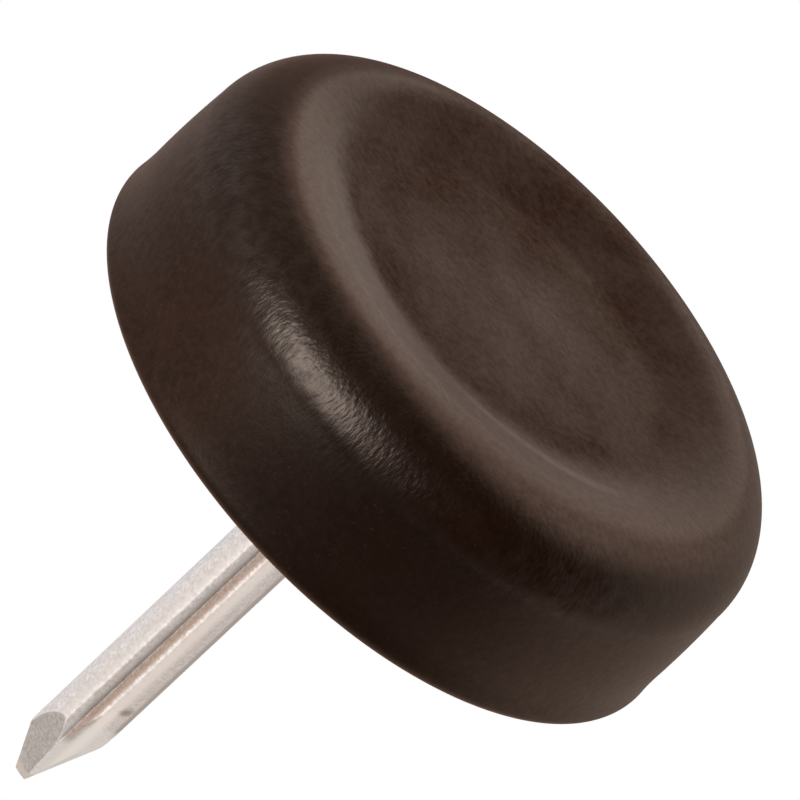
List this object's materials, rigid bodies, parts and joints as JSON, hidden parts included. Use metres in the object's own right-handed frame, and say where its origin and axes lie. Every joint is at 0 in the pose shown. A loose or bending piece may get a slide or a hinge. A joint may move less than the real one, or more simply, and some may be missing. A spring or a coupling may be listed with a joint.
{
  "type": "nail on furniture glide",
  "caption": "Round domed-edge plastic glide with a sunk sliding face, moulded round the head of a fluted steel nail that is driven into the end of a chair or table leg.",
  "frame": {"origin": "centre of the box's bottom, which is the centre of the glide rim's plane, on the nail's axis", "axes": "+Z along the nail, from the glide face to the tip; the pictured side of the nail, with its flute, faces +Y"},
  "size_m": [0.02, 0.02, 0.0222],
  "materials": {
    "cap_plastic": "dark brown moulded plastic with a fine satin texture",
    "nail_steel": "bright drawn wire, slightly dull, with brownish drawing residue in the flute"
  },
  "bodies": {
    "root": {"glide_cap": "cap_plastic", "nail": "nail_steel"}
  },
  "joints": []
}
